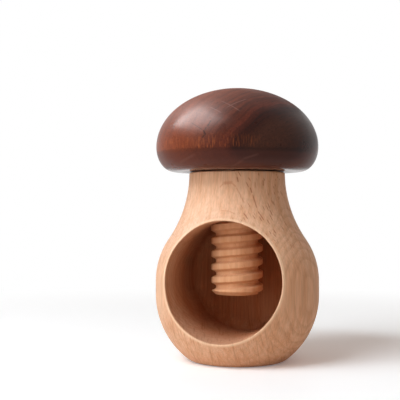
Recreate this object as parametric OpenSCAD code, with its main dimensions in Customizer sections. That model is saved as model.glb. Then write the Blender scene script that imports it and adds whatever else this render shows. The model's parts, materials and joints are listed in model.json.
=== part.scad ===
// Mushroom-shaped screw nutcracker, in millimetres.
// The origin is the centre of the foot, +Z is up and the mouth of the nut chamber faces -Y.
// The cap is drawn screwed right down, one seat gap above the neck.

/* [Body] */
// Diameter of the belly, the widest part of the body
body_d = 80; // [74:1:90]
// Height of the body, from the foot to the top of the neck
body_h = 92; // [84:1:104]
// Height where the straight band of the belly starts
belly_low = 32.5; // [28:0.5:40]
// Height of the straight band of the belly
belly_band = 6.5; // [1:0.5:12]
// Radius of the shoulder above the belly
shoulder_r = 36; // [20:1:50]
// Diameter of the neck at its top
neck_d = 47; // [40:0.2:54]
// Diameter of the flat foot
foot_d = 42; // [36:1:54]
// Width of the rounded edge round the foot
foot_round = 4; // [2:0.5:6]
// Height of the rounded edge round the foot
foot_ease = 1.5; // [0.5:0.1:3]
// Width of the eased edge round the top of the neck
neck_ease = 0.8; // [0.2:0.1:1.5]

/* [Chamber] */
// Diameter of the nut chamber
chamber_d = 56; // [46:0.5:60]
// Height of the chamber's axis above the foot
chamber_z = 40.3; // [36:0.1:44]
// Distance of the chamber's back wall behind the axis of the body
chamber_back = 23; // [15:0.5:28]
// Radius of the corner between the chamber's wall and its back
chamber_corner = 6; // [1:0.5:12]
// Width of the eased edge round the chamber's mouth
mouth_ease = 1.2; // [0.6:0.1:2]

/* [Screw] */
// Outer diameter of the screw thread
thread_d = 25.4; // [22:0.2:29]
// Depth of the thread
thread_depth = 2.3; // [1.6:0.1:3]
// Rise of the thread in one turn
pitch = 6.4; // [5.6:0.1:8]
// Width of the flat on the thread's crest
crest_w = 2.4; // [1:0.1:2.6]
// Width of the flat at the thread's root
root_w = 1.2; // [1:0.1:2]
// Play between the screw's thread and the body's thread
thread_play = 0.3; // [0.2:0.05:0.4]
// Length of the screw below the cap
screw_reach = 60; // [48:0.5:68]
// Width of the chamfer round the screw's tip
tip_chamfer = 1.8; // [0.6:0.1:2.4]

/* [Cap] */
// How far the cap's widest line stands in from the belly
cap_inset = 0.2; // [-4:0.1:6]
// Height of the cap
cap_h = 40.9; // [34:0.1:50]
// Height of the cap's widest line above its underside
cap_rim_h = 12; // [6:0.5:16]
// Diameter of the flat underside of the cap
cap_flat_d = 62; // [54:0.5:68]
// Gap between the neck and the cap when the cap is down
seat_gap = 0.4; // [0.3:0.1:1]

/* [Cap joint] */
// Diameter of the screw's plain end, where it is glued to the cap
shank_d = 19.4; // [16:0.2:20]
// Diameter of the dowel that joins the screw to the cap
dowel_d = 10; // [6:0.5:12]
// Depth of the dowel in the screw
dowel_in_screw = 18; // [12:0.5:30]
// Depth of the dowel in the cap
dowel_in_cap = 24; // [14:0.5:28]
// Chamfer at each end of the dowel
dowel_chamfer = 1; // [0.4:0.1:1.6]
// Glue gap round the dowel and on top of the screw
glue_gap = 0.05; // [0.03:0.01:0.1]

/* [Hidden] */

$fn = 96;
outline_steps = 10;
foot_steps = 4;
corner_steps = 6;
cap_steps = 14;
screw_turn_steps = 36;
bore_turn_steps = 24;
mouth_steps = 56;
ease_steps = 3;
beech = "#d9a878";
walnut = "#4a2a20";

belly_r = body_d / 2;
belly_top = belly_low + belly_band;
neck_r = neck_d / 2;
foot_r = foot_d / 2;
// The lower bulb is the arc that stands upright at the belly and meets the foot's rounded edge
foot_edge_r = foot_r + foot_round;
bulb_r = (pow(belly_low - foot_ease, 2) + pow(belly_r - foot_edge_r, 2)) / (2 * (belly_r - foot_edge_r));
// Shoulder and neck are two arcs that turn through the same angle, one out and one in
shoulder_turn = 2 * atan((belly_r - neck_r) / (body_h - belly_top));
neck_hollow_r = (body_h - belly_top) / sin(shoulder_turn) - shoulder_r;
shoulder_top = belly_top + shoulder_r * sin(shoulder_turn);

chamber_r = chamber_d / 2;
mouth_clear = belly_r + 5;

crest_r = thread_d / 2;
root_r = crest_r - thread_depth;
crest_half = crest_w / 2;
root_half = (pitch - root_w) / 2;
lead_in = thread_depth + 2 * thread_play;
// Lowest point where the threaded bore meets the chamber's roof
bore_low = chamber_z + sqrt(pow(chamber_r, 2) - pow(crest_r + thread_play, 2));

cap_r = belly_r - cap_inset;
cap_z = body_h + seat_gap;
tip_z = cap_z - screw_reach;
shank_r = shank_d / 2;
shank_top = cap_z - glue_gap;
// The blank stands this far over the thread's crest, so only its ends cut the thread
blank_over = 1;
run_out_slope = 1.5;
run_out = run_out_slope * (crest_r + blank_over - shank_r);
dowel_low = cap_z - dowel_in_screw;
dowel_high = cap_z + dowel_in_cap;
dowel_r = dowel_d / 2;

// Radius of the turned body at a height above its eased foot
function body_radius(z) =
    z < belly_low ? belly_r - bulb_r + sqrt(pow(bulb_r, 2) - pow(belly_low - z, 2)) :
    z < belly_top ? belly_r :
    z < shoulder_top ? belly_r - shoulder_r + sqrt(pow(shoulder_r, 2) - pow(z - belly_top, 2)) :
    neck_r + neck_hollow_r - sqrt(pow(neck_hollow_r, 2) - pow(body_h - z, 2));

// Points of the body's outline between two heights
function body_outline(low, high) =
    [for (i = [0:outline_steps]) let (z = low + (high - low) * i / outline_steps) [body_radius(z), z]];

// Points of the foot's rounded edge, level where it leaves the flat and running into the bulb
function foot_edge() =
    [for (i = [0:foot_steps - 1]) let (t = i / foot_steps)
        [foot_r + foot_round * t, foot_ease * pow(t, 2)]];

// Points of an elliptical arc about a centre, between two angles
function elliptic_arc(centre, half, from, to, steps) =
    [for (i = [0:steps]) let (a = from + (to - from) * i / steps)
        [centre[0] + half[0] * cos(a), centre[1] + half[1] * sin(a)]];

// A point at one angle of a round hole of a given radius that is bored into the body's face
function mouth_point(a, r) =
    let (x = r * cos(a), z = chamber_z + r * sin(a))
    [x, -sqrt(pow(body_radius(z), 2) - pow(x, 2)), z];

// Section, at one angle, of the sliver that is cut off to ease the chamber's mouth:
// a curve from the body's face to the chamber's wall, run on past both, and a corner in the open air
function mouth_section(a) =
    let (corner = mouth_point(a, chamber_r),
         face = mouth_point(a, chamber_r + mouth_ease),
         wall = corner + [0, mouth_ease, 0],
         curve = [for (i = [0:ease_steps]) let (t = i / ease_steps)
             pow(1 - t, 2) * face + 2 * t * (1 - t) * corner + pow(t, 2) * wall],
         past_face = 2 * curve[0] - curve[1],
         past_wall = 2 * curve[ease_steps] - curve[ease_steps - 1],
         open_air = 2 * corner - (face + wall) / 2)
    concat([past_face], [for (i = [1:ease_steps - 1]) curve[i]], [past_wall, open_air]);

// Axial places and radii of one turn of thread, grown outwards by some play
function thread_profile(play) = [
    [pitch / 2 - root_half - play, root_r + play],
    [pitch / 2 - crest_half - play, crest_r + play],
    [pitch / 2 + crest_half + play, crest_r + play],
    [pitch / 2 + root_half + play, root_r + play]];

// Threaded rod between two heights at least, ending in rough helical steps
module thread_rod(low, high, play, turn_steps) {
    profile = thread_profile(play);
    m = len(profile);
    first = floor((low - tip_z) / pitch) - 1;
    turns = ceil((high - tip_z) / pitch) + 1 - first;
    column = turns * m;
    // Each column of points climbs one thread step more than the last; the first has one more turn
    points = concat(
        [for (j = [0:turn_steps], q = [0:column - 1])
            let (k = floor(q / m), p = profile[q % m], a = 360 * j / turn_steps)
            if (j < turn_steps || q >= column - m)
                [p[1] * cos(a), p[1] * sin(a), tip_z + pitch * (first + k + j / turn_steps) + p[0]]],
        [[0, 0, tip_z + pitch * (first - 1)], [0, 0, tip_z + pitch * (first + turns + 2)]]);
    last = turn_steps * column;
    foot = last + m;
    // Index of point q of column j: the closing column is the first one, a turn higher
    function at(j, q) = j < turn_steps ? j * column + q : q + m < column ? q + m : last + q + m - column;
    foot_loop = concat([for (j = [0:turn_steps]) at(j, 0)], [for (q = [m - 1:-1:1]) q]);
    head_loop = concat([for (j = [0:turn_steps]) at(j, column - 1)],
        [for (q = [column + m - 2:-1:column]) last + q - column]);
    polyhedron(points, concat(
        [for (j = [0:turn_steps - 1], q = [0:column - 2]) [at(j, q), at(j + 1, q + 1), at(j + 1, q)]],
        [for (j = [0:turn_steps - 1], q = [0:column - 2]) [at(j, q), at(j, q + 1), at(j + 1, q + 1)]],
        [for (i = [0:len(foot_loop) - 1]) [foot, foot_loop[i], foot_loop[(i + 1) % len(foot_loop)]]],
        [for (i = [0:len(head_loop) - 1]) [foot + 1, head_loop[(i + 1) % len(head_loop)], head_loop[i]]]));
}

// Body as it comes off the lathe, before boring
module turned_body() {
    rotate_extrude() polygon(concat(
        [[0, 0]],
        foot_edge(),
        body_outline(foot_ease, belly_low),
        body_outline(belly_top, shoulder_top),
        [for (p = body_outline(shoulder_top, body_h - neck_ease)) if (p[1] > shoulder_top) p],
        [[neck_r - neck_ease, body_h], [0, body_h]]));
}

// Round chamber bored from the front, with a rounded corner at its back
module chamber() {
    rotate([90, 0, 0]) rotate_extrude() polygon(concat(
        [[0, mouth_clear], [0, -chamber_back]],
        elliptic_arc([chamber_r - chamber_corner, chamber_corner - chamber_back],
            [chamber_corner, chamber_corner], -90, 0, corner_steps),
        [[chamber_r, mouth_clear]]));
}

// Ring of material that is rounded off the edge of the chamber's mouth
module mouth_edge() {
    sections = [for (j = [0:mouth_steps - 1]) mouth_section(360 * j / mouth_steps)];
    m = len(sections[0]);
    function at(j, i) = (j % mouth_steps) * m + i % m;
    polyhedron([for (s = sections, p = s) p], concat(
        [for (j = [0:mouth_steps - 1], i = [0:m - 1]) [at(j, i), at(j + 1, i + 1), at(j, i + 1)]],
        [for (j = [0:mouth_steps - 1], i = [0:m - 1]) [at(j, i), at(j + 1, i), at(j + 1, i + 1)]]));
}

// Countersink that leads the thread in at the top of the neck
module thread_lead_in() {
    translate([0, 0, body_h - lead_in]) cylinder(r1 = root_r, r2 = root_r + 2 * lead_in, h = 2 * lead_in);
}

module body() {
    color(beech) difference() {
        turned_body();
        translate([0, 0, chamber_z]) chamber();
        mouth_edge();
        thread_rod(bore_low, body_h, thread_play, bore_turn_steps);
        thread_lead_in();
    }
}

// Blank that the thread is cut on: chamfered tip, and thread run-out to the plain end under the cap
module screw_blank() {
    rotate_extrude() polygon([
        [0, tip_z],
        [crest_r - tip_chamfer, tip_z],
        [crest_r + blank_over, tip_z + tip_chamfer + blank_over],
        [crest_r + blank_over, shank_top - run_out],
        [shank_r, shank_top],
        [0, shank_top]]);
}

module screw() {
    color(beech) difference() {
        intersection() {
            thread_rod(tip_z, shank_top, 0, screw_turn_steps);
            screw_blank();
        }
        translate([0, 0, dowel_low]) cylinder(r = dowel_r + glue_gap, h = dowel_in_screw + pitch);
    }
}

module dowel() {
    flat_r = dowel_r - dowel_chamfer;
    low = dowel_low + glue_gap;
    high = dowel_high - glue_gap;
    color(beech) rotate_extrude() polygon([
        [0, low],
        [flat_r, low],
        [dowel_r, low + dowel_chamfer],
        [dowel_r, high - dowel_chamfer],
        [flat_r, high],
        [0, high]]);
}

// Turned cap: a tall elliptical dome over a tighter elliptical rim, bored for the dowel
module cap() {
    rim_z = cap_z + cap_rim_h;
    flat_r = cap_flat_d / 2;
    bore_r = dowel_r + glue_gap;
    color(walnut) rotate_extrude() polygon(concat(
        [[0, dowel_high], [bore_r, dowel_high], [bore_r, cap_z]],
        elliptic_arc([flat_r, rim_z], [cap_r - flat_r, cap_rim_h], -90, 0, cap_steps),
        [for (p = elliptic_arc([0, rim_z], [cap_r, cap_h - cap_rim_h], 0, 90, cap_steps))
            if (p[1] > rim_z) p]));
}

body();
screw();
dowel();
cap();
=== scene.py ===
"""Looks of a turned wooden screw nutcracker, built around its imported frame.

The body and the screw are beech and the domed cap is walnut. A hidden dowel joins the cap to the screw.
Lengths are in metres, apart from fields that end in _mm: grain and marks are drawn in millimetres.
"""

from __future__ import annotations

import json
import logging
import math
from collections.abc import Callable, Mapping, Sequence
from dataclasses import dataclass, field
from enum import Enum
from functools import cached_property, reduce

import bmesh
import bpy
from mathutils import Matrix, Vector

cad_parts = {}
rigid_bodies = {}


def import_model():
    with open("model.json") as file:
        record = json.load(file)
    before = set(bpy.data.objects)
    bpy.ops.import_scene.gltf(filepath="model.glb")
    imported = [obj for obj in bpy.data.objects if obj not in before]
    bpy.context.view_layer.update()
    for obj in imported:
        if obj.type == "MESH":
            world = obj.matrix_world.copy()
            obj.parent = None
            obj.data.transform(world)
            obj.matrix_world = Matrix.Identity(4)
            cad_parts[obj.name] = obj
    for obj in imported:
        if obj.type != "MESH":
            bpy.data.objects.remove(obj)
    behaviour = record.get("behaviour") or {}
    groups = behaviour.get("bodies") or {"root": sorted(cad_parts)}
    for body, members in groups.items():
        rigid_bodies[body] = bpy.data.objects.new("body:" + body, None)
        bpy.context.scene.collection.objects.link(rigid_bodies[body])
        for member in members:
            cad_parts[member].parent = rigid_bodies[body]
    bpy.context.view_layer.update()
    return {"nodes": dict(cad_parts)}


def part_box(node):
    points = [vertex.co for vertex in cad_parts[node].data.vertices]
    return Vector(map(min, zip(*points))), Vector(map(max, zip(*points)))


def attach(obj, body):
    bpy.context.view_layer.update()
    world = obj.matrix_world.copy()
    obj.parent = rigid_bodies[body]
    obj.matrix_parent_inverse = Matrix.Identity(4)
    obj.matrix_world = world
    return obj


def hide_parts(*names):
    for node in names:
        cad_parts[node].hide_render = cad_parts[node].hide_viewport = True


LOG = logging.getLogger("nutcracker")
MM = 0.001
GLUE_GAP = 0.05 * MM
SLIVER = 0.002 * MM  # edges this short are left over from cutting
FULL_TURN = 2 * math.pi
QUARTER_TURN = math.pi / 2
UNIT = (1.0, 1.0, 1.0)
WHITE = (1.0, 1.0, 1.0)

Colour = tuple[float, float, float]
Triple = tuple[float, float, float]
Span = tuple[float, float]
Object = bpy.types.Object
Material = bpy.types.Material
Socket = bpy.types.NodeSocket
Number = Socket | float
Value = Socket | float | Sequence[float]
Ring = list[Vector]
Outline = list[tuple[float, float]]


class Carrier(Enum):
    """CAD bodies that pieces ride on."""

    BODY = "body"
    DOWEL = "dowel"
    HEAD = "head"


class Slot(Enum):
    """Material slots of the record."""

    BEECH = "beech"
    WALNUT = "walnut"


class Blend(Enum):
    """Ways of laying one colour over another."""

    MIX = "MIX"
    MULTIPLY = "MULTIPLY"


class Reach(Enum):
    """What the light of a lamp shows on."""

    MATT = "colour alone"
    GLOSS = "gloss alone"


def linear(share: float) -> float:
    """Linear value of one channel of a picture, 0 to 1."""
    return share / 12.92 if share <= 0.04045 else ((share + 0.055) / 1.055) ** 2.4


def srgb(red: int, green: int, blue: int) -> Colour:
    """Linear colour for the red, green and blue, 0 to 255, that a picture shows."""
    return linear(red / 255), linear(green / 255), linear(blue / 255)


def spread(start: float, stop: float, parts: int) -> list[float]:
    """Evenly spaced values from start to stop, with both ends."""
    return [start + (stop - start) * part / parts for part in range(parts + 1)]


def around(steps: int) -> list[float]:
    """Evenly spaced angles of one turn."""
    return [FULL_TURN * step / steps for step in range(steps)]


def direction(azimuth_deg: float, elevation_deg: float) -> Vector:
    """Unit vector to a place round the object. Azimuth 0 is before the mouth and grows to the right."""
    a, e = math.radians(azimuth_deg), math.radians(elevation_deg)
    return Vector((math.sin(a) * math.cos(e), -math.cos(a) * math.cos(e), math.sin(e)))


def show(name: str, data: bpy.types.ID) -> Object:
    """Put a new object in the scene.

    Args:
        name: Name of the object.
        data: Its mesh, light or camera.

    Returns:
        The object.
    """
    shown = bpy.data.objects.new(name, data)
    bpy.context.scene.collection.objects.link(shown)
    return shown


class NodeGraph:
    """A node tree, with short calls for the nodes that the finishes and the studio use."""

    def __init__(self, tree: bpy.types.NodeTree) -> None:
        """Take over a tree and empty it."""
        self.nodes, self.links = tree.nodes, tree.links
        self.nodes.clear()

    def feed(self, node: bpy.types.Node, inputs: Mapping[int | str, Value]) -> None:
        """Link sockets to the inputs of a node, or set the inputs to plain values.

        Args:
            node: The node.
            inputs: What each input gets, by its place or its name.
        """
        for key, value in inputs.items():
            target = node.inputs[key]
            if isinstance(value, Socket):
                self.links.new(value, target)
            elif isinstance(value, (int, float)):
                target.default_value = value
            else:
                target.default_value = (*value, 1.0)[:len(target.default_value)]

    def node(self, kind: str, inputs: Mapping[int | str, Value], **settings: str) -> bpy.types.Node:
        """Add a node.

        Args:
            kind: Its type, without the ShaderNode in front.
            inputs: What its inputs get, by place or name.
            settings: Its settings.

        Returns:
            The node.
        """
        node = self.nodes.new("ShaderNode" + kind)
        for name, setting in settings.items():
            setattr(node, name, setting)
        self.feed(node, inputs)
        return node

    def math(self, operation: str, *values: Number) -> Socket:
        """Add a Math node with one to three inputs."""
        return self.node("Math", dict(enumerate(values)), operation=operation).outputs[0]

    def product(self, first: Number, *others: Number) -> Socket:
        """Multiply values by each other."""
        return reduce(lambda total, value: self.math("MULTIPLY", total, value), others, first)

    def most(self, first: Number, *others: Number) -> Socket:
        """Take the greatest of some values."""
        return reduce(lambda total, value: self.math("MAXIMUM", total, value), others, first)

    def vector(self, operation: str, *values: Value) -> Socket:
        """Add a Vector Math node. It gives a vector, or a number where the operation does."""
        node = self.node("VectorMath", dict(enumerate(values)), operation=operation)
        return node.outputs["Value" if operation in {"LENGTH", "DISTANCE", "DOT_PRODUCT"} else "Vector"]

    def scale(self, vector: Value, factor: Number) -> Socket:
        """Multiply a vector by a number."""
        return self.node("VectorMath", {0: vector, "Scale": factor}, operation="SCALE").outputs["Vector"]

    def split(self, vector: Socket) -> tuple[Socket, Socket, Socket]:
        """Part a vector into x, y and z."""
        return tuple(self.node("SeparateXYZ", {0: vector}).outputs)

    def join(self, x: Number, y: Number, z: Number) -> Socket:
        """Put x, y and z together as a vector."""
        return self.node("CombineXYZ", {0: x, 1: y, 2: z}).outputs[0]

    def from_upright(self, at: Socket, x: float = 0.0, y: float = 0.0) -> Socket:
        """Distance from an upright line through x and y."""
        offset = self.vector("SUBTRACT", at, (x, y, 0.0))
        return self.vector("LENGTH", self.vector("MULTIPLY", offset, (1.0, 1.0, 0.0)))

    def step(self, value: Socket, low: float, high: float, start: float = 0.0, end: float = 1.0) -> Socket:
        """Ease from start to end while a value runs from low to high, and hold still outside those."""
        inputs = dict(enumerate((value, low, high, start, end)))
        return self.node("MapRange", inputs, interpolation_type="SMOOTHSTEP").outputs["Result"]

    def fall(self, value: Socket, low: float, high: float) -> Socket:
        """Ease from 1 to 0 while a value runs from low to high."""
        return self.step(value, low, high, 1.0, 0.0)

    def between(self, value: Socket, rise: Span, fall: Span) -> Socket:
        """1 between a rise and a fall, each given by where it begins and ends, and 0 outside them."""
        return self.product(self.step(value, *rise), self.fall(value, *fall))

    def saw(self, value: Socket, period: float, shift: Socket) -> Socket:
        """Count from 0 to 1 over each period of a value, shifted by a share of a period."""
        return self.math("FRACT", self.math("ADD", self.math("DIVIDE", value, period), shift))

    def clouds(self, at: Socket, size: Triple, detail: float, rough: float) -> bpy.types.Node:
        """Add a noise, Fac and Color, with features of a size along each axis and finer layers on them."""
        inputs = {"Vector": self.vector("DIVIDE", at, size), "Scale": 1.0}
        return self.node("TexNoise", inputs | {"Detail": detail, "Roughness": rough})

    def noise(self, at: Socket, size: Triple = UNIT, detail: float = 2.0) -> Socket:
        """Add a noise from 0 to 1 with features of a size along each axis."""
        return self.clouds(at, size, detail, 0.5).outputs["Fac"]

    def drift(
        self, at: Socket, size: Triple, reach: float, detail: float, rough: float
    ) -> tuple[Socket, Socket]:
        """Add a slow noise, as an offset that moves coordinates about within a reach and as a number."""
        slow = self.clouds(at, size, detail, rough).outputs
        return self.scale(self.vector("SUBTRACT", slow["Color"], (0.5, 0.5, 0.5)), reach), slow["Fac"]

    def spots(self, at: Socket, core: float, edge: float, size: Triple = UNIT) -> Socket:
        """Scatter spots, one to a cell, which are full out to the core's radius and end at the edge's."""
        inputs = {"Vector": self.vector("DIVIDE", at, size), "Scale": 1.0}
        return self.fall(self.node("TexVoronoi", inputs).outputs["Distance"], core, edge)

    def mix(self, share: Number, under: Value, over: Value, blend: Blend = Blend.MIX) -> Socket:
        """Lay one colour over another, as far as the share lets it show."""
        inputs = {0: share, 6: under, 7: over}
        return self.node("Mix", inputs, data_type="RGBA", blend_type=blend.value).outputs[2]

    def tint(self, under: Socket, over: Colour, *shares: Number) -> Socket:
        """Lay a colour over another where every one of some shares lets it show."""
        return self.mix(self.product(*shares), under, over)

    def ramp(self, value: Socket, stops: Sequence[tuple[float, Colour]]) -> Socket:
        """Add a colour ramp.

        Args:
            value: Place on the ramp, 0 to 1.
            stops: Places and their colours, in order.

        Returns:
            The colour.
        """
        node = self.node("ValToRGB", {"Fac": value})
        elements = node.color_ramp.elements
        while len(elements) < len(stops):
            elements.new(0.5)
        for element, (place, colour) in zip(elements, stops):
            element.position = place
            element.color = (*colour, 1.0)
        return node.outputs["Color"]

    def seen(self) -> Socket:
        """1 for what the camera sees, straight or in gloss or glass, and 0 for light on the way to it."""
        rays = self.node("LightPath", {}).outputs
        return self.most(*(rays[f"Is {kind} Ray"] for kind in ("Camera", "Glossy", "Transmission")))


class ShaderGraph(NodeGraph):
    """The node tree of a new material."""

    def __init__(self, name: str) -> None:
        """Make a material that has only its shader and output.

        Args:
            name: Name of the material.
        """
        self.material = bpy.data.materials.new(name)
        self.material.use_nodes = True
        super().__init__(self.material.node_tree)
        self.shader = self.node("BsdfPrincipled", {})
        self.output = self.node("OutputMaterial", {"Surface": self.shader.outputs["BSDF"]})

    def coordinates(self, kind: str) -> Socket:
        """Add coordinates of the piece, Object or Normal."""
        return self.node("TexCoord", {}).outputs[kind]

    @cached_property
    def at(self) -> Socket:
        """The piece's own coordinates, in millimetres."""
        return self.scale(self.coordinates("Object"), 1 / MM)

    def emboss(self, height: Socket, depth_mm: float, strength: float) -> None:
        """Put relief on the shader: a height map, the depth of its range from 0 to 1, and its strength."""
        bump = self.node("Bump", {"Height": height, "Distance": depth_mm * MM, "Strength": strength})
        self.feed(self.shader, {"Normal": bump.outputs["Normal"]})

    def close(self, colour: Socket, roughness: Number, specular: float) -> Material:
        """Put colour and gloss on the shader and hand over the material."""
        self.feed(self.shader, {"Base Color": colour, "Roughness": roughness, "Specular IOR Level": specular})
        return self.material


@dataclass(frozen=True)
class Mark:
    """A straight fine mark on a surface: a scratch, a check or a fleck."""

    start_mm: Triple
    end_mm: Triple
    facing: Triple
    width_mm: float = 0.4

    def draw(self, g: ShaderGraph) -> Socket:
        """Draw the mark.

        Args:
            g: Graph that it is drawn in.

        Returns:
            1 on the mark and 0 off it.
        """
        start, end = Vector(self.start_mm), Vector(self.end_mm)
        across = (end - start).cross(Vector(self.facing)).normalized()
        offset = g.vector("SUBTRACT", g.at, (start + end) / 2)
        aside = g.math("ABSOLUTE", g.vector("DOT_PRODUCT", offset, across))
        half = (end - start).length / 2
        ends = g.fall(g.vector("LENGTH", offset), 0.6 * half, half)
        return g.product(g.fall(aside, 0.2 * self.width_mm, self.width_mm), ends)

    @staticmethod
    def lay(g: ShaderGraph, marks: Sequence[Mark]) -> Socket:
        """1 on any of some marks and 0 off them."""
        return g.most(*(mark.draw(g) for mark in marks))


@dataclass(frozen=True)
class BeechFinish:
    """Pale beech with upright fibres, sanded and lightly oiled."""

    name: str
    pale: Colour = srgb(237, 194, 161)
    tan: Colour = srgb(226, 173, 136)
    ring_line: Colour = srgb(184, 128, 92)
    fleck: Colour = srgb(156, 66, 30)
    end_grain: Colour = srgb(196, 138, 99)
    fibre_shade: Colour = srgb(146, 134, 126)
    seed_mm: Triple = (0.0, 0.0, 0.0)
    pith_mm: Span = (-94.0, 20.0)
    ring_mm: float = 2.0
    year_mm: float = 4.5
    warp_mm: float = 9.0
    warp_size_mm: Triple = (38.0, 38.0, 75.0)
    fibre_size_mm: Triple = (0.55, 0.55, 14.0)
    stripe_size_mm: Triple = (2.6, 2.6, 60.0)
    ray_size_mm: Triple = (1.2, 1.2, 9.0)
    bold_ray_size_mm: Triple = (1.1, 1.1, 7.5)
    bold_ray_lean: float = 0.5
    crowd_size_mm: Triple = (22.0, 22.0, 30.0)
    grain: float = 1.0
    roughness: float = 0.58
    dent_roughness: float = 0.16
    unsanded_roughness: float = 0.92
    specular: float = 0.18
    relief_mm: float = 0.06

    def wood(self) -> tuple[ShaderGraph, Socket, Socket]:
        """Build the wood as far as its colour and relief.

        Returns:
            The graph, the wood's colour and the height of its relief.
        """
        g = ShaderGraph(self.name)
        at = g.vector("ADD", g.at, self.seed_mm)
        x, y, z = g.split(at)
        # A slow warp makes the growth rings wander up the blank
        warp, slow = g.drift(at, self.warp_size_mm, self.warp_mm, 2.0, 0.5)
        from_pith = g.from_upright(g.vector("ADD", at, warp), *self.pith_mm)
        years = g.noise(g.join(from_pith, 0.0, 0.0), (self.year_mm, 1.0, 1.0), 1.0)
        late_wood = g.between(g.saw(from_pith, self.ring_mm, years), (0.35, 0.88), (0.9, 1.0))
        # Fine fibres, and the pale and tan stripes that they add up to
        stripe = g.noise(at, self.stripe_size_mm, 3.0)
        tone = g.math("ADD", g.product(stripe, 0.65), g.product(slow, 0.35))
        colour = g.mix(g.step(tone, 0.36, 0.66), self.pale, self.tan)
        aside = g.step(g.math("ABSOLUTE", x), 6.0, 32.0, 0.16 * self.grain, 0.29 * self.grain)
        colour = g.tint(colour, self.ring_line, late_wood, g.step(slow, 0.3, 0.68, 0.5, 1.0), aside)
        fine = g.step(g.noise(at, self.fibre_size_mm), 0.35, 0.65)
        shade = g.mix(fine, self.fibre_shade, WHITE)
        colour = g.mix(0.18 * self.grain, colour, shade, Blend.MULTIPLY)
        # Rays show as short flecks: a faint upright crowd, and bold ones that lean, on the sides to the bark
        faint = g.spots(at, 0.12, 0.25, self.ray_size_mm)
        lean = g.math("ADD", x, g.product(z, self.bold_ray_lean))
        crowd = g.step(g.noise(at, self.crowd_size_mm, 1.0), 0.32, 0.50)
        to_bark = g.most(g.step(x, 0.0, 7.0), g.fall(x, -26.0, -16.0))
        bold = g.spots(g.join(lean, y, z), 0.14, 0.28, self.bold_ray_size_mm)
        bold = g.product(bold, to_bark, g.step(z, 46.0, 64.0), crowd)
        colour = g.tint(colour, self.fleck, faint, 0.14 * self.grain)
        colour = g.tint(colour, self.fleck, bold, 0.6 * self.grain)
        # Faces cut across the fibres drink more oil
        _, _, upright = g.split(g.coordinates("Normal"))
        colour = g.tint(colour, self.end_grain, g.step(g.math("ABSOLUTE", upright), 0.45, 1.0), 0.36)
        dents = g.math("ADD", g.product(bold, 0.4), g.product(faint, 0.25))
        return g, colour, g.math("SUBTRACT", g.product(fine, 0.35), dents)

    def oil(self, g: ShaderGraph, colour: Socket, relief: Socket, unsanded: Number = 0.0) -> Material:
        """Give the wood its gloss and relief.

        Args:
            g: The graph.
            colour: Final colour.
            relief: Height of the relief.
            unsanded: 1 where the surface is left dull.

        Returns:
            The finished material.
        """
        rough = g.step(relief, -0.6, 0.35, self.roughness + self.dent_roughness, self.roughness)
        rough = g.most(rough, g.product(unsanded, self.unsanded_roughness))
        g.emboss(relief, self.relief_mm, 0.5 * self.grain)
        return g.close(colour, rough, self.specular)

    def material(self) -> Material:
        """Make the plain wood."""
        return self.oil(*self.wood())


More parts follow.
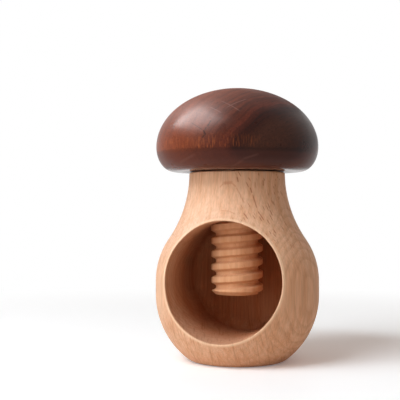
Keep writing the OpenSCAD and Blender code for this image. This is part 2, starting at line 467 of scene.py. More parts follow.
@dataclass(frozen=True, kw_only=True)
class BoredBeechFinish(BeechFinish):
    """Beech of the body: pale on the eased mouth of the chamber, as wear and painted highlight, and darker
    within the chamber, as painted shade.
    """

    chamber_r_mm: float
    chamber_z_mm: float
    chamber_back_mm: float
    # Painted shade, multiplied into the chamber's wall, more towards the back
    shaded_inside: Colour = srgb(212, 184, 164)
    # Paler mouth edge: wear, and a painted highlight on the eased edge
    edge_wear_and_highlight: Colour = srgb(246, 214, 180)
    streak: Colour = srgb(192, 116, 82)
    vessel_ways: tuple[Triple, ...] = ((0.97, 0.24, 0.2), (-0.24, 0.97, 0.0), (0.0, 0.0, 1.0))
    vessel_size_mm: Triple = (0.8, 12.0, 12.0)
    streaks: tuple[Mark, ...] = (
        Mark((-2.5, -24.0, 83.9), (-0.6, -23.8, 86.0), (-0.06, -1.0, 0.0), 0.45),
        Mark((-1.4, -23.8, 86.0), (4.4, -23.5, 86.4), (0.06, -1.0, 0.0), 1.15),
        Mark((2.6, -23.6, 86.8), (5.6, -23.4, 84.1), (0.17, -0.99, 0.0), 0.6),
        Mark((5.2, -23.4, 84.4), (8.2, -23.5, 79.2), (0.27, -0.96, 0.0), 0.45),
        Mark((7.2, -23.5, 80.6), (9.6, -23.7, 76.4), (0.30, -0.95, 0.0), 0.5),
        Mark((13.5, -19.5, 86.9), (13.7, -19.8, 83.6), (0.57, -0.82, 0.0), 0.5),
        Mark((-1.4, -26.6, 73.2), (3.4, -26.5, 73.0), (0.03, -1.0, 0.0), 0.35),
        Mark((2.6, -26.6, 73.1), (6.1, -26.6, 71.4), (0.16, -0.99, 0.0), 0.35),
    )
    flecks: tuple[Mark, ...] = (
        Mark((11.5, -21.1, 84.2), (12.5, -21.1, 81.2), (0.50, -0.87, 0.0), 0.45),
        Mark((12.6, -21.0, 81.2), (15.1, -21.7, 73.7), (0.54, -0.84, 0.0)),
        Mark((15.2, -21.9, 73.2), (18.6, -21.7, 68.3), (0.61, -0.79, 0.0)),
        Mark((20.0, -17.4, 73.8), (21.5, -17.3, 70.6), (0.77, -0.64, 0.0)),
        Mark((16.7, -16.7, 87.8), (16.9, -16.9, 84.6), (0.71, -0.71, 0.0)),
        Mark((5.7, -22.9, 89.2), (6.3, -22.9, 86.3), (0.25, -0.97, 0.0)),
        Mark((9.3, -25.4, 72.3), (11.7, -25.7, 69.1), (0.38, -0.92, 0.0)),
    )

    def material(self) -> Material:
        """Make the wood with the marks of the neck on it, and the chamber's painted shade and pale mouth
        edge.

        Returns:
            The finished material.
        """
        g, colour, relief = self.wood()
        x, y, z = g.split(g.at)
        # Vessels cut open on the lower bulb draw fine lines up from the foot
        vessel_at = g.join(*(g.vector("DOT_PRODUCT", g.at, way) for way in self.vessel_ways))
        vessel = g.step(g.noise(vessel_at, self.vessel_size_mm), 0.54, 0.68)
        colour = g.tint(colour, self.ring_line, vessel, g.step(z, 14.0, 32.0, 0.5, 0.0))
        colour = g.tint(colour, self.streak, Mark.lay(g, self.streaks), 0.4)
        colour = g.tint(colour, self.fleck, Mark.lay(g, self.flecks), 0.62)
        # The chamber's wall is painted darker the further back it goes: painted shade, with a slightly deeper
        # tone of the bored wood
        wall, back = self.chamber_r_mm, self.chamber_back_mm
        from_axis = g.vector("LENGTH", g.join(x, g.math("SUBTRACT", z, self.chamber_z_mm), 0.0))
        shaded_inside = g.product(g.fall(from_axis, wall + 0.05, wall + 0.3), g.fall(y, back + 0.5, back + 2.0))
        depth_shade = g.product(shaded_inside, g.step(y, -27.0, -2.0, 0.3, 1.0))
        colour = g.mix(depth_shade, colour, self.shaded_inside, Blend.MULTIPLY)
        # The eased edge of the mouth is painted paler at the front: part wear, part painted highlight
        lip_wear_and_highlight = g.between(from_axis, (wall + 0.1, wall + 0.5), (wall + 0.9, wall + 1.8))
        colour = g.tint(colour, self.edge_wear_and_highlight, lip_wear_and_highlight, g.step(y, -24.0, -22.0, 0.5, 0.0))
        return self.oil(g, colour, relief, shaded_inside)


@dataclass(frozen=True)
class WalnutFinish:
    """Dark walnut with a swirl where the heart of the wood comes out, under a satin varnish."""

    name: str
    heart: Colour = srgb(66, 37, 27)
    ashen: Colour = srgb(58, 28, 18)
    dark: Colour = srgb(50, 20, 13)
    brown: Colour = srgb(88, 40, 28)
    tawny: Colour = srgb(96, 46, 31)
    red: Colour = srgb(131, 64, 38)
    flame: Colour = srgb(178, 96, 52)
    # Painted reflection of the floor and the neck on the lower rim
    painted_rim_reflection: Colour = srgb(70, 38, 33)
    pore: Colour = srgb(22, 11, 8)
    # Pale colour of scratches and wear, also painted on the lower edge as a reflection of the floor
    wear_and_floor_reflection: Colour = srgb(140, 98, 88)
    fibre_shade: Colour = srgb(120, 112, 108)
    heart_mm: Triple = (32.4, -21.9, 109.8)
    heart_axis: Triple = (-0.40, -0.87, -0.28)
    figure_mm: float = 90.0
    band_mm: float = 5.5
    line_mm: float = 2.9
    year_mm: float = 9.0
    warp_mm: float = 12.0
    warp_size_mm: Triple = (30.0, 30.0, 30.0)
    patch_size_mm: Triple = (13.0, 13.0, 13.0)
    wear_size_mm: Triple = (9.0, 9.0, 9.0)
    flame_size_mm: Triple = (0.55, 0.55, 4.5)
    fibre_mm: Span = (0.5, 13.0)
    pore_mm: Span = (1.3, 6.0)
    rim_mm: Span = (92.4, 104.4)
    crown_mm: Span = (116.0, 127.0)
    crown_dull: float = 0.28
    roughness: float = 0.30
    specular: float = 0.12
    relief_mm: float = 0.04
    scratches: tuple[Mark, ...] = (
        Mark((-1.5, -28.8, 124.3), (10.4, -33.6, 117.9), (0.1, -0.7, 0.7)),
        Mark((11.8, -25.2, 125.0), (2.6, -33.6, 119.7), (0.1, -0.7, 0.7)),
        Mark((-5.1, -32.2, 121.0), (2.0, -35.5, 117.4), (-0.1, -0.75, 0.65)),
    )
    checks: tuple[Mark, ...] = (
        Mark((-13.1, -35.3, 113.7), (-5.9, -38.7, 109.4), (-0.24, -0.91, 0.34), 0.2),
        Mark((-6.2, -38.6, 109.9), (-4.7, -39.3, 107.3), (-0.14, -0.97, 0.2), 0.5),
        Mark((-5.3, -39.2, 107.8), (-6.4, -39.2, 106.0), (-0.14, -0.98, 0.12), 0.42),
        Mark((-5.5, -38.7, 109.7), (-4.7, -38.4, 111.2), (-0.13, -0.95, 0.28), 0.36),
        Mark((-4.3, -38.4, 111.2), (-3.4, -38.0, 112.9), (-0.09, -0.93, 0.35), 0.42),
        Mark((-3.6, -37.9, 112.6), (-2.8, -37.4, 114.3), (-0.08, -0.91, 0.41), 0.42),
    )
    arcs: tuple[Mark, ...] = (
        Mark((4.2, -30.5, 94.0), (13.0, -34.2, 98.0), (0.3, -0.9, -0.4), 0.9),
        Mark((9.8, -34.0, 97.0), (19.0, -32.8, 99.4), (0.4, -0.85, -0.3), 0.8),
        Mark((-19.6, -29.4, 96.0), (-9.2, -36.6, 99.4), (-0.4, -0.85, -0.3), 0.9),
    )

    def along(self, g: ShaderGraph, offset: Socket) -> Socket:
        """Part of an offset that runs along the heart."""
        axis = Vector(self.heart_axis).normalized()
        return g.scale(axis, g.vector("DOT_PRODUCT", offset, axis))

    def figure(self, g: ShaderGraph, patch: Socket) -> tuple[Socket, Socket]:
        """Colour the wood by its growth round the heart.

        Args:
            g: The graph.
            patch: Noise that breaks up what is drawn.

        Returns:
            The colour, and the distance from the heart.
        """
        _, _, z = g.split(g.at)
        _, wide = self.rim_mm
        warp, _ = g.drift(g.at, self.warp_size_mm, self.warp_mm, 1.0, 0.35)
        bent = g.vector("ADD", g.vector("SUBTRACT", g.at, self.heart_mm), warp)
        from_heart = g.vector("LENGTH", g.vector("SUBTRACT", bent, self.along(g, bent)))
        # A greyish heart in a dark belt, with red wood further out
        stops_mm = (
            (0.0, self.heart), (4.0, self.heart), (8.0, self.ashen), (10.5, self.dark), (12.0, self.dark),
            (16.0, self.brown), (23.0, self.tawny), (46.0, self.red), (58.0, self.red), (78.0, self.brown),
        )
        stops = [(place / self.figure_mm, tone) for place, tone in stops_mm]
        colour = g.ramp(g.math("DIVIDE", from_heart, self.figure_mm), stops)
        # Growth rings: broad soft bands, and thin lines that fade away from the heart
        years = g.noise(g.join(from_heart, 3.0, 0.0), (self.year_mm, 1.0, 1.0))
        uneven = g.product(g.math("SUBTRACT", years, 0.5), 1.4)
        shown = g.product(g.step(from_heart, 3.0, 9.0), g.step(z, wide, wide + 9.0, 0.35, 1.0))
        band = g.between(g.saw(from_heart, self.band_mm, uneven), (0.05, 0.66), (0.68, 1.0))
        colour = g.tint(colour, self.dark, band, shown, g.step(from_heart, 18.0, 40.0, 0.38, 0.2))
        line = g.between(g.saw(from_heart, self.line_mm, years), (0.45, 0.85), (0.9, 1.0))
        line = g.product(line, shown, g.step(patch, 0.38, 0.6))
        colour = g.tint(colour, self.pore, line, g.step(from_heart, 22.0, 44.0, 0.36, 0.16))
        return colour, from_heart

    def fibres(self, g: ShaderGraph, colour: Socket) -> tuple[Socket, Socket, Socket]:
        """Draw the fibres and the open pores, which run along the heart.

        Args:
            g: The graph.
            colour: Colour that they are drawn on.

        Returns:
            The new colour, the fibres and the pores.
        """
        offset = g.vector("SUBTRACT", g.at, self.heart_mm)
        run = self.along(g, offset)
        flat = g.vector("SUBTRACT", offset, run)

        def drawn_out(width_mm: float, length_mm: float) -> Socket:
            """Coordinates for features of a width, and of a length along the heart."""
            return g.vector("ADD", g.scale(flat, 1 / width_mm), g.scale(run, 1 / length_mm))

        fine = g.step(g.noise(drawn_out(*self.fibre_mm), detail=3.0), 0.34, 0.66)
        colour = g.mix(0.34, colour, g.mix(fine, self.fibre_shade, WHITE), Blend.MULTIPLY)
        pore = g.spots(drawn_out(*self.pore_mm), 0.10, 0.20)
        return g.tint(colour, self.pore, pore, 0.6), fine, pore

    def rim(self, g: ShaderGraph, colour: Socket, from_heart: Socket, patch: Socket) -> Socket:
        """Draw what shows on the rim.

        Args:
            g: The graph.
            colour: Colour that it is drawn on.
            from_heart: Distance from the heart.
            patch: Noise that breaks up what is drawn.

        Returns:
            The new colour.
        """
        x, y, z = g.split(g.at)
        low, wide = self.rim_mm
        # Rays flame up in short upright strokes where the rim is widest
        stroke = g.step(g.noise(g.at, self.flame_size_mm), 0.46, 0.68)
        ragged = g.math("ADD", z, g.product(patch, 3.0))
        widest = g.between(ragged, (wide - 2.0, wide - 0.5), (wide + 1.5, wide + 7.0))
        flames = g.product(stroke, widest, g.step(y, -20.0, 12.0, 1.0, 0.2), g.step(x, 9.0, 23.0, 1.0, 0.14))
        flames = g.product(flames, g.step(from_heart, 8.0, 28.0, 0.24, 0.38))
        colour = g.tint(colour, self.flame, flames, g.step(patch, 0.34, 0.56, 0.35, 1.0))
        # Under the flames runs a dark line; lower down, a painted reflection of the floor and neck tints the
        # rim
        seam = g.between(z, (wide - 5.2, wide - 3.6), (wide - 3.2, wide - 2.0))
        colour = g.tint(colour, self.pore, seam, 0.3)
        colour = g.mix(g.step(z, wide - 5.0, wide - 3.0, 0.58, 0.0), colour, self.painted_rim_reflection)
        # Handling wear and a painted reflection of the floor pale the lower edge
        return g.mix(g.step(z, low + 1.0, low + 6.5, 0.16, 0.0), colour, self.wear_and_floor_reflection)

    def varnish(self, g: ShaderGraph) -> Socket:
        """Spread the gloss: the underside keeps it beside the neck, and the palm rubs the crown dull.

        Args:
            g: The graph.

        Returns:
            The roughness.
        """
        _, _, z = g.split(g.at)
        low, _ = self.rim_mm
        wear = g.noise(g.at, self.wear_size_mm, 3.0)
        polish = g.step(wear, 0.3, 0.7, self.roughness - 0.03, self.roughness + 0.08)
        untouched = g.product(g.fall(z, low + 0.4, low + 1.6), g.step(g.from_upright(g.at), 19.0, 29.0))
        polish = g.product(polish, g.math("SUBTRACT", 1.0, g.product(untouched, 0.5)))
        return g.math("ADD", polish, g.step(z, *self.crown_mm, 0.0, self.crown_dull))

    def material(self) -> Material:
        """Make the varnished wood.

        Returns:
            The finished material.
        """
        g = ShaderGraph(self.name)
        patch = g.noise(g.at, self.patch_size_mm)
        colour, from_heart = self.figure(g, patch)
        colour, fine, pore = self.fibres(g, colour)
        colour = self.rim(g, colour, from_heart, patch)
        checked = Mark.lay(g, self.checks)
        colour = g.tint(colour, self.wear_and_floor_reflection, Mark.lay(g, self.arcs), 0.14)
        colour = g.tint(colour, self.wear_and_floor_reflection, Mark.lay(g, self.scratches), 0.4)
        colour = g.tint(colour, self.pore, checked, 0.85)
        relief = g.math("SUBTRACT", g.product(fine, 0.25), g.most(pore, checked))
        g.emboss(relief, self.relief_mm, 0.35)
        return g.close(colour, self.varnish(g), self.specular)


@dataclass
class RingMesh:
    """A closed surface through rings of points, shut by a fan at each end."""

    rings: list[Ring]

    @staticmethod
    def turned(outline: Outline, steps: int) -> RingMesh:
        """Turn an outline, the radius and height of each ring, about the upright axis."""
        return RingMesh.radial([z for _, z in outline], lambda row, _: outline[row][0], steps)

    @staticmethod
    def radial(heights: Sequence[float], radius: Callable[[int, float], float], steps: int) -> RingMesh:
        """Build level rings whose radius may change round the axis.

        Args:
            heights: Height of each ring.
            radius: Radius for a row number and an angle.
            steps: Number of points round the axis.

        Returns:
            The surface.
        """
        return RingMesh([
            [Vector((radius(row, a) * math.cos(a), radius(row, a) * math.sin(a), z)) for a in around(steps)]
            for row, z in enumerate(heights)
        ])

    def to_object(self, name: str) -> Object:
        """Make the mesh and an object that shows it.

        Args:
            name: Name of the piece.

        Returns:
            The new object, in the scene.
        """
        steps = len(self.rings[0])
        points = [point for ring in self.rings for point in ring]
        faces: list[tuple[int, ...]] = []
        for row in range(len(self.rings) - 1):
            for step in range(steps):
                after = (step + 1) % steps
                low, high = row * steps, (row + 1) * steps
                faces.append((low + step, low + after, high + after, high + step))
        first, last = (0, self.rings[0], True), (len(points) - steps, self.rings[-1], False)
        for ring_start, ring, flip in (first, last):
            centre = len(points)
            points.append(sum(ring, Vector()) / steps)
            for step in range(steps):
                edge = (ring_start + step, ring_start + (step + 1) % steps)
                faces.append((centre, *reversed(edge)) if flip else (centre, *edge))
        mesh = bpy.data.meshes.new(name)
        mesh.from_pydata(points, [], faces)
        work = bmesh.new()
        work.from_mesh(mesh)
        bmesh.ops.recalc_face_normals(work, faces=work.faces)
        work.to_mesh(mesh)
        work.free()
        return show(name, mesh)


def cut(piece: Object, cutters: Sequence[Object]) -> None:
    """Cut solids out of a piece for good, clear the slivers and delete the cutters.

    Args:
        piece: The piece that is cut.
        cutters: Closed solids.
    """
    for cutter in cutters:
        modifier = piece.modifiers.new("bore", "BOOLEAN")
        modifier.operation = "DIFFERENCE"
        modifier.solver = "EXACT"
        modifier.object = cutter
    depsgraph = bpy.context.evaluated_depsgraph_get()
    finished = bpy.data.meshes.new_from_object(piece.evaluated_get(depsgraph))
    piece.modifiers.clear()
    work = bmesh.new()
    work.from_mesh(finished)
    bmesh.ops.triangulate(work, faces=[face for face in work.faces if len(face.verts) > 4])
    bmesh.ops.remove_doubles(work, verts=work.verts, dist=SLIVER)
    bmesh.ops.dissolve_degenerate(work, edges=work.edges, dist=SLIVER)
    work.to_mesh(finished)
    work.free()
    raw = piece.data
    piece.data = finished
    finished.name = piece.name
    bpy.data.meshes.remove(raw)
    for cutter in cutters:
        mesh = cutter.data
        bpy.data.objects.remove(cutter)
        bpy.data.meshes.remove(mesh)


def smooth(piece: Object, crease_deg: float = 32.0) -> None:
    """Shade a piece smooth, with a crisp line at each sharp edge.

    Args:
        piece: The piece.
        crease_deg: Edges that turn more than this stay crisp.
    """
    mesh = piece.data
    mesh.polygons.foreach_set("use_smooth", [True] * len(mesh.polygons))
    mesh.set_sharp_from_angle(angle=math.radians(crease_deg))
    mesh.update()


def paint(piece: Object, finish: Material) -> None:
    """Give a piece one material in place of any that it has."""
    piece.data.materials.clear()
    piece.data.materials.append(finish)


def seat(piece: Object, finish: Material, carrier: Carrier, node: str) -> None:
    """Dress a piece and let it stand for its CAD node.

    Args:
        piece: The piece.
        finish: Its material.
        carrier: The CAD body that it rides on.
        node: The CAD node that it replaces.
    """
    paint(piece, finish)
    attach(piece, carrier.value)
    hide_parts(node)
    LOG.info("%s: %d faces, rides on %s", piece.name, len(piece.data.polygons), carrier.value)


@dataclass(frozen=True)
class Thread:
    """Coarse right-hand thread, shared by the screw and the body."""

    crest_r: float
    tip_z: float
    depth: float = 2.3 * MM
    pitch: float = 6.4 * MM
    crest_w: float = 2.4 * MM
    root_w: float = 1.2 * MM
    play: float = 0.3 * MM
    rounding: float = 0.65

    def radius(self, angle: float, z: float, play: float = 0.0) -> float:
        """Radius of the thread's surface.

        Args:
            angle: Angle about the axis.
            z: Height.
            play: How far the surface is grown outwards.

        Returns:
            The radius, with the corners of crest and root rounded.
        """
        place = ((z - self.tip_z) / self.pitch - angle / FULL_TURN) % 1.0
        off_crest = abs(place - 0.5) * self.pitch
        crest_half = self.crest_w / 2 + play
        root_half = (self.pitch - self.root_w) / 2 + play
        rise = min(max((root_half - off_crest) / (root_half - crest_half), 0.0), 1.0)
        eased = rise * rise * (3 - 2 * rise)
        rounded = (1 - self.rounding) * rise + self.rounding * eased
        return self.crest_r - self.depth + play + self.depth * rounded


@dataclass
class Body:
    """Pear-shaped beech body with the round chamber and the threaded neck."""

    thread: Thread
    belly_r: float
    height: float
    belly_low: float = 32.5 * MM
    belly_band: float = 6.5 * MM
    shoulder_r: float = 36 * MM
    neck_r: float = 23.5 * MM
    foot_r: float = 21 * MM
    foot_round: float = 4 * MM
    foot_ease: float = 1.5 * MM
    neck_ease: float = 0.8 * MM
    chamber_r: float = 28 * MM
    chamber_z: float = 40.3 * MM
    chamber_back: float = 23 * MM
    chamber_corner: float = 6 * MM
    mouth_ease: float = 1.2 * MM
    round_steps: int = 256
    tap_steps: int = 160
    piece: Object | None = field(default=None, init=False)

    @property
    def belly_top(self) -> float:
        """Height where the belly's straight band ends."""
        return self.belly_low + self.belly_band

    @property
    def bulb_r(self) -> float:
        """Radius of the arc from the belly down to the foot."""
        drop, inward = self.belly_low - self.foot_ease, self.belly_r - self.foot_r - self.foot_round
        return (drop**2 + inward**2) / (2 * inward)

    @property
    def shoulder_turn(self) -> float:
        """Angle that the shoulder turns through before the neck turns back."""
        return 2 * math.atan((self.belly_r - self.neck_r) / (self.height - self.belly_top))

    def radius(self, z: float) -> float:
        """Radius of the turned body at a height.

        Args:
            z: Height above the foot.

        Returns:
            The radius.
        """
        turn = self.shoulder_turn
        hollow_r = (self.height - self.belly_top) / math.sin(turn) - self.shoulder_r
        if z < self.belly_low:
            return self.belly_r - self.bulb_r + math.sqrt(self.bulb_r**2 - (self.belly_low - z) ** 2)
        if z < self.belly_top:
            return self.belly_r
        if z < self.belly_top + self.shoulder_r * math.sin(turn):
            return self.belly_r - self.shoulder_r + math.sqrt(self.shoulder_r**2 - (z - self.belly_top) ** 2)
        return self.neck_r + hollow_r - math.sqrt(hollow_r**2 - (self.height - z) ** 2)

    def outline(self) -> Outline:
        """Trace the turned body from foot to neck.

        Returns:
            Radius and height of each ring.
        """
        rows, ease_rows = 150, 6
        low, high = self.foot_ease, self.height - self.neck_ease
        points = [(self.foot_r * share, 0.0) for share in (0.3, 0.7, 0.97)]
        for share in spread(0, 1, ease_rows)[:-1]:
            points.append((self.foot_r + self.foot_round * share, self.foot_ease * share**2))
        points += [(self.radius(z), z) for z in spread(low, high, rows)]
        for angle in spread(0, QUARTER_TURN, ease_rows)[1:]:
            points.append((self.neck_r - self.neck_ease * (1 - math.cos(angle)),
                           high + self.neck_ease * math.sin(angle)))
        points += [(self.neck_r * share, self.height) for share in (0.9, 0.5)]
        return points

    def mouth_point(self, angle: float, r: float) -> Vector:
        """Point where a round hole of a given radius meets the face of the body.

        Args:
            angle: Angle round the hole.
            r: Radius of the hole.

        Returns:
            The point.
        """
        x = r * math.cos(angle)
        z = self.chamber_z + r * math.sin(angle)
        return Vector((x, -math.sqrt(self.radius(z) ** 2 - x**2), z))

    def chamber_rings(self) -> list[Ring]:
        """Trace the chamber's cutter from its back wall out through the eased mouth.

        Returns:
            Its rings.
        """
        corner_rows, wall_rows, ease_rows = 12, 30, 8
        angles = around(self.round_steps)

        def level(r: float, y: float) -> Ring:
            """Round ring of the chamber at one depth."""
            return [Vector((r * math.cos(a), y, self.chamber_z + r * math.sin(a))) for a in angles]

        flat_r = self.chamber_r - self.chamber_corner
        rings = [level(flat_r * share, self.chamber_back) for share in (0.1, 0.55)]
        for turn in spread(0, QUARTER_TURN, corner_rows):
            rings.append(level(flat_r + self.chamber_corner * math.sin(turn),
                               self.chamber_back - self.chamber_corner * (1 - math.cos(turn))))
        wall_start = self.chamber_back - self.chamber_corner
        corner = [self.mouth_point(a, self.chamber_r) for a in angles]
        face = [self.mouth_point(a, self.chamber_r + self.mouth_ease) for a in angles]
        wall = [point + Vector((0, self.mouth_ease, 0)) for point in corner]
        for share in spread(0, 1, wall_rows)[1:-1]:
            rings.append([Vector((p.x, wall_start + share * (p.y - wall_start), p.z)) for p in wall])
        # The easing curve stops short of both faces, so that it crosses them cleanly
        for t in spread(0.80, 0.20, ease_rows):
            to_face, to_corner, to_wall = (1 - t) ** 2, 2 * t * (1 - t), t * t
            rings.append([to_face * f + to_corner * c + to_wall * w for f, c, w in zip(face, corner, wall)])
        steps_out = 14
        rings.append([last + steps_out * (last - before) for last, before in zip(rings[-1], rings[-2])])
        rings.append(level(1.3 * self.chamber_r, -1.75 * self.belly_r))
        return rings

    def tap(self) -> RingMesh:
        """Build the cutter for the thread in the neck, with a lead-in at the top.

        Returns:
            The cutter.
        """
        rows = 250
        overshoot = 4 * MM
        lead_in = self.thread.depth + 2 * self.thread.play
        root_r = self.thread.crest_r - self.thread.depth
        heights = spread(self.chamber_z + 0.3 * self.chamber_r, self.height + overshoot, rows)

        def radius(row: int, angle: float) -> float:
            """Radius of the cutter."""
            z = heights[row]
            return max(self.thread.radius(angle, z, self.thread.play), root_r + z - self.height + lead_in)

        return RingMesh.radial(heights, radius, self.tap_steps)

    def build(self) -> None:
        """Turn the body, bore the chamber and cut the thread."""
        self.piece = RingMesh.turned(self.outline(), self.round_steps).to_object("beech_body")
        chamber = RingMesh(self.chamber_rings()).to_object("chamber_cutter")
        thread = self.tap().to_object("thread_cutter")
        cut(self.piece, (chamber, thread))
        smooth(self.piece)

    def dress(self) -> None:
        """Give the body its wood."""
        finish = BoredBeechFinish(
            "beech_of_body",
            chamber_r_mm=self.chamber_r / MM,
            chamber_z_mm=self.chamber_z / MM,
            chamber_back_mm=self.chamber_back / MM,
        )
        seat(self.piece, finish.material(), Carrier.BODY, "body")


@dataclass
class Screw:
    """Beech screw with a chamfered tip, a thread run-out and a plain end under the cap."""

    thread: Thread
    top_z: float
    bore_r: float
    bore_low: float
    shank_r: float = 9.7 * MM
    tip_chamfer: float = 1.8 * MM
    run_out_slope: float = 1.5
    row_h: float = 0.2 * MM
    round_steps: int = 176
    piece: Object | None = field(default=None, init=False)

    def radius(self, angle: float, z: float) -> float:
        """Radius of the screw.

        Args:
            angle: Angle about the axis.
            z: Height.

        Returns:
            The radius, with the chamfer at the tip and the run-out at the shank.
        """
        tip = self.thread.crest_r - self.tip_chamfer + z - self.thread.tip_z
        run_out = self.shank_r + (self.top_z - z) / self.run_out_slope
        return min(self.thread.radius(angle, z), tip, run_out)

    def build(self) -> None:
        """Build the screw from its tip to the bore for the dowel."""
        rows = round((self.top_z - self.thread.tip_z) / self.row_h)
        shares = (0.15, 0.6, 0.96)
        heights = [self.thread.tip_z] * len(shares) + spread(self.thread.tip_z, self.top_z, rows)
        bore = [self.top_z, self.bore_low]

        def radius(row: int, angle: float) -> float:
            """Radius of a row, whichever stretch it is on."""
            share = shares[row] if row < len(shares) else 1.0
            return share * self.radius(angle, heights[row]) if row < len(heights) else self.bore_r

        self.piece = RingMesh.radial(heights + bore, radius, self.round_steps).to_object("beech_screw")
        smooth(self.piece)

    def dress(self) -> None:
        """Give the screw its wood."""
        finish = BeechFinish(
            "beech_of_screw",
            pale=srgb(229, 179, 139),
            tan=srgb(219, 163, 121),
            seed_mm=(7.0, 31.0, 12.0),
            grain=0.4,
            roughness=0.6,
        )
        seat(self.piece, finish.material(), Carrier.HEAD, "screw")


@dataclass
class Cap:
    """Walnut dome: a tall elliptical crown over a tighter rim, bored underneath."""

    low: float
    high: float
    radius: float
    bore_r: float
    bore_top: float
    rim_h: float = 12 * MM
    flat_r: float = 31 * MM
    round_steps: int = 256
    piece: Object | None = field(default=None, init=False)

    def outline(self) -> Outline:
        """Trace the cap from the dowel's bore round to the crown.

        Returns:
            Radius and height of each ring.
        """
        rim_rows, dome_rows = 40, 90
        rim_z = self.low + self.rim_h
        points = [(self.bore_r, self.bore_top), (self.bore_r, self.low)]
        points += [(self.bore_r + (self.flat_r - self.bore_r) * share, self.low) for share in (0.3, 0.65)]
        for angle in spread(-QUARTER_TURN, 0, rim_rows):
            points.append((self.flat_r + (self.radius - self.flat_r) * math.cos(angle),
                           rim_z + self.rim_h * math.sin(angle)))
        for angle in spread(0, QUARTER_TURN, dome_rows)[1:-1]:
            points.append((self.radius * math.cos(angle), rim_z + (self.high - rim_z) * math.sin(angle)))
        return points

    def build(self) -> None:
        """Turn the cap."""
        self.piece = RingMesh.turned(self.outline(), self.round_steps).to_object("walnut_cap")
        smooth(self.piece)

    def dress(self) -> None:
        """Give the cap its wood."""
        seat(self.piece, WalnutFinish("walnut_of_cap").material(), Carrier.HEAD, "cap")


@dataclass
class Dowel:
    """Hidden beech dowel, shown as its CAD solid."""

    node: Object

    def dress(self) -> None:
        """Give the dowel its wood."""
        paint(self.node, BeechFinish("beech_of_dowel", seed_mm=(19.0, 3.0, 40.0)).material())
        LOG.info("dowel: CAD solid, rides on %s", Carrier.DOWEL.value)


@dataclass(frozen=True)
class Lamp:
    """A soft box that looks at the object."""

    name: str
    azimuth_deg: float
    elevation_deg: float
    distance: float
    size: Span
    watts: float
    reach: Reach
    colour: Colour = WHITE

    def place(self, target: Vector) -> None:
        """Hang the lamp in the scene.

        Args:
            target: Point that it looks at.
        """
        data = bpy.data.lights.new(self.name, "AREA")
        data.shape = "RECTANGLE"
        data.size, data.size_y = self.size
        data.energy = self.watts
        data.color = self.colour
        lamp = show(self.name, data)
        away = direction(self.azimuth_deg, self.elevation_deg)
        lamp.location = target + away * self.distance
        lamp.rotation_euler = (-away).to_track_quat("-Z", "Y").to_euler()
        lamp.visible_diffuse = self.reach is Reach.MATT
        lamp.visible_glossy = self.reach is Reach.GLOSS


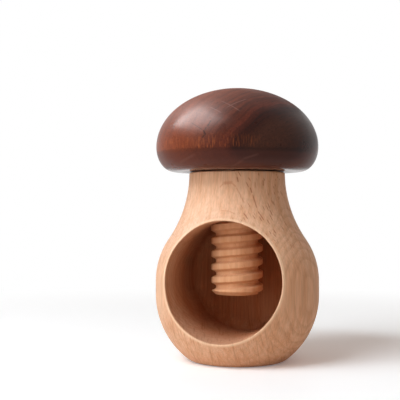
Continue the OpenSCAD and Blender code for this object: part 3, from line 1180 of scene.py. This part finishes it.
@dataclass
class Studio:
    """Pale floor, soft light and the camera."""

    camera_azimuth_deg: float = 14.0
    camera_distance: float = 430 * MM
    eye_z: float = 72.6 * MM
    aim_left: float = 18.3 * MM
    aim_z: float = 78.5 * MM
    lens_mm: float = 78.4
    sensor_mm: float = 36.0
    clip_near: float = 10 * MM
    target_z: float = 65 * MM
    floor_half: float = 3.0
    floor_colour: Colour = (0.95, 0.98, 0.99)
    floor_roughness: float = 0.55
    floor_specular: float = 0.15
    bounce: Colour = (0.86, 0.76, 0.67)
    fade_near: float = 0.16
    fade_far: float = 0.42
    glow: Colour = (0.24, 0.235, 0.24)
    # Weaker glow for the patch where the object's shadow falls: painted shadow
    shade: Colour = (0.12, 0.085, 0.08)
    shade_reach: float = 60 * MM
    sky_colour: Colour = (1.0, 0.86, 0.74)
    sky: float = 0.3
    lamps: tuple[Lamp, ...] = (
        Lamp("main", -33.0, 43.0, 1.0, (0.55, 0.55), 7.4, Reach.MATT, (0.95, 1.0, 1.06)),
        Lamp("front", -34.0, 8.0, 1.1, (0.42, 0.5), 2.6, Reach.MATT),
        Lamp("sheen", -70.0, 52.0, 0.9, (0.95, 0.58), 33.0, Reach.GLOSS),
    )

    def floor_finish(self) -> Material:
        """Make a pale matt surface that is lifted where it is seen, less in a painted shadow where the
        object's shadow falls, and fades to white far out.

        Returns:
            The finished material.
        """
        g = ShaderGraph("pale_floor")
        at, seen = g.coordinates("Object"), g.seen()
        g.close(g.mix(seen, self.bounce, self.floor_colour), self.floor_roughness, self.floor_specular)
        # Where the object's shadow falls, the glow is weaker and pinker: a painted deepening of the shadow
        shade_at = direction(self.lamps[0].azimuth_deg + 180, 0.0) * self.shade_reach
        away = g.vector("DISTANCE", at, shade_at)
        in_shade = g.fall(away, 0.7 * self.shade_reach, 1.5 * self.shade_reach)
        lift = g.node("Emission", {"Color": g.mix(in_shade, self.glow, self.shade), "Strength": seen})
        lifted = g.node("AddShader", {0: g.shader.outputs["BSDF"], 1: lift.outputs[0]})
        far = g.step(g.vector("LENGTH", at), self.fade_near, self.fade_far)
        white = g.node("Emission", {"Color": WHITE})
        faded = g.node("MixShader", {0: g.product(far, seen), 1: lifted.outputs[0], 2: white.outputs[0]})
        g.feed(g.output, {"Surface": faded.outputs[0]})
        return g.material

    def build_floor(self) -> None:
        """Lay a pale floor that fades into the white behind it."""
        half = self.floor_half
        mesh = bpy.data.meshes.new("floor")
        corners = [(-half, -half, 0), (half, -half, 0), (half, half, 0), (-half, half, 0)]
        mesh.from_pydata(corners, [], [(0, 1, 2, 3)])
        mesh.materials.append(self.floor_finish())
        floor = show("floor", mesh)

    def build_light(self) -> None:
        """Hang the lamps and set the sky: even light, white where it is seen."""
        for lamp in self.lamps:
            lamp.place(Vector((0, 0, self.target_z)))
        world = bpy.data.worlds.new("studio")
        bpy.context.scene.world = world
        world.use_nodes = True
        g = NodeGraph(world.node_tree)
        light = g.node("Background", {"Color": self.sky_colour, "Strength": self.sky})
        white = g.node("Background", {"Color": WHITE})
        sky = g.node("MixShader", {0: g.seen(), 1: light.outputs[0], 2: white.outputs[0]})
        g.node("OutputWorld", {"Surface": sky.outputs[0]})

    def build_camera(self) -> None:
        """Set the camera where the picture was taken from."""
        data = bpy.data.cameras.new("camera")
        data.sensor_width = self.sensor_mm
        data.lens = self.lens_mm
        data.clip_start = self.clip_near
        camera = show("camera", data)
        towards = direction(self.camera_azimuth_deg, 0.0)
        left = towards.cross(Vector((0, 0, 1)))
        eye = towards * self.camera_distance + Vector((0, 0, self.eye_z))
        aim = left * self.aim_left + Vector((0, 0, self.aim_z))
        camera.location = eye
        camera.rotation_euler = (aim - eye).to_track_quat("-Z", "Y").to_euler()
        bpy.context.scene.camera = camera

    def build(self) -> None:
        """Build the whole studio."""
        bpy.context.scene.view_settings.view_transform = "Standard"
        self.build_floor()
        self.build_light()
        self.build_camera()


def main() -> None:
    """Load the frame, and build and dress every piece."""
    logging.basicConfig(level=logging.INFO, format="%(name)s: %(message)s")
    for leftover in list(bpy.data.objects):
        bpy.data.objects.remove(leftover)
    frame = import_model()
    _, body_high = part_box("body")
    screw_low, screw_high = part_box("screw")
    cap_low, cap_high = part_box("cap")
    dowel_low, dowel_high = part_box("dowel")
    bore_r = dowel_high.x + GLUE_GAP
    thread = Thread(crest_r=screw_high.x, tip_z=screw_low.z)
    pieces = (
        Body(thread, belly_r=body_high.x, height=body_high.z),
        Screw(thread, top_z=screw_high.z, bore_r=bore_r, bore_low=dowel_low.z - GLUE_GAP),
        Cap(cap_low.z, cap_high.z, cap_high.x, bore_r=bore_r, bore_top=dowel_high.z + GLUE_GAP),
    )
    for piece in pieces:
        piece.build()
        piece.dress()
    Dowel(frame["nodes"]["dowel"]).dress()
    Studio().build()


if __name__ == "__main__":
    main()
